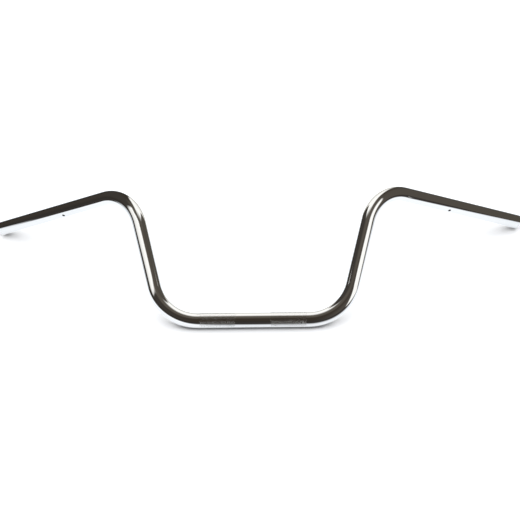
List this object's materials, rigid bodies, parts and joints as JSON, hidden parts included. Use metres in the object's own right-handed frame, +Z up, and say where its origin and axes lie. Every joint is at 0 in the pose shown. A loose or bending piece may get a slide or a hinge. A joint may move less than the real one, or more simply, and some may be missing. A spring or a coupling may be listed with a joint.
{
  "type": "motorcycle handlebar",
  "caption": "Chrome-plated steel tube bent into a raised, pulled-back bar, with a straight middle for the clamps and a straight grip at each end.",
  "frame": {"origin": "middle of the straight clamp section, on the tube's axis", "axes": "+X along the straight clamp section towards the right-hand grip as the rider sits, +Z up off the surface the bar lies on, +Y along that surface from the clamp section towards the two grip ends"},
  "size_m": [0.8424, 0.2773, 0.1331],
  "materials": {
    "handlebar": "polished chrome plate"
  },
  "bodies": {
    "root": {"handlebar": "handlebar"}
  },
  "joints": []
}
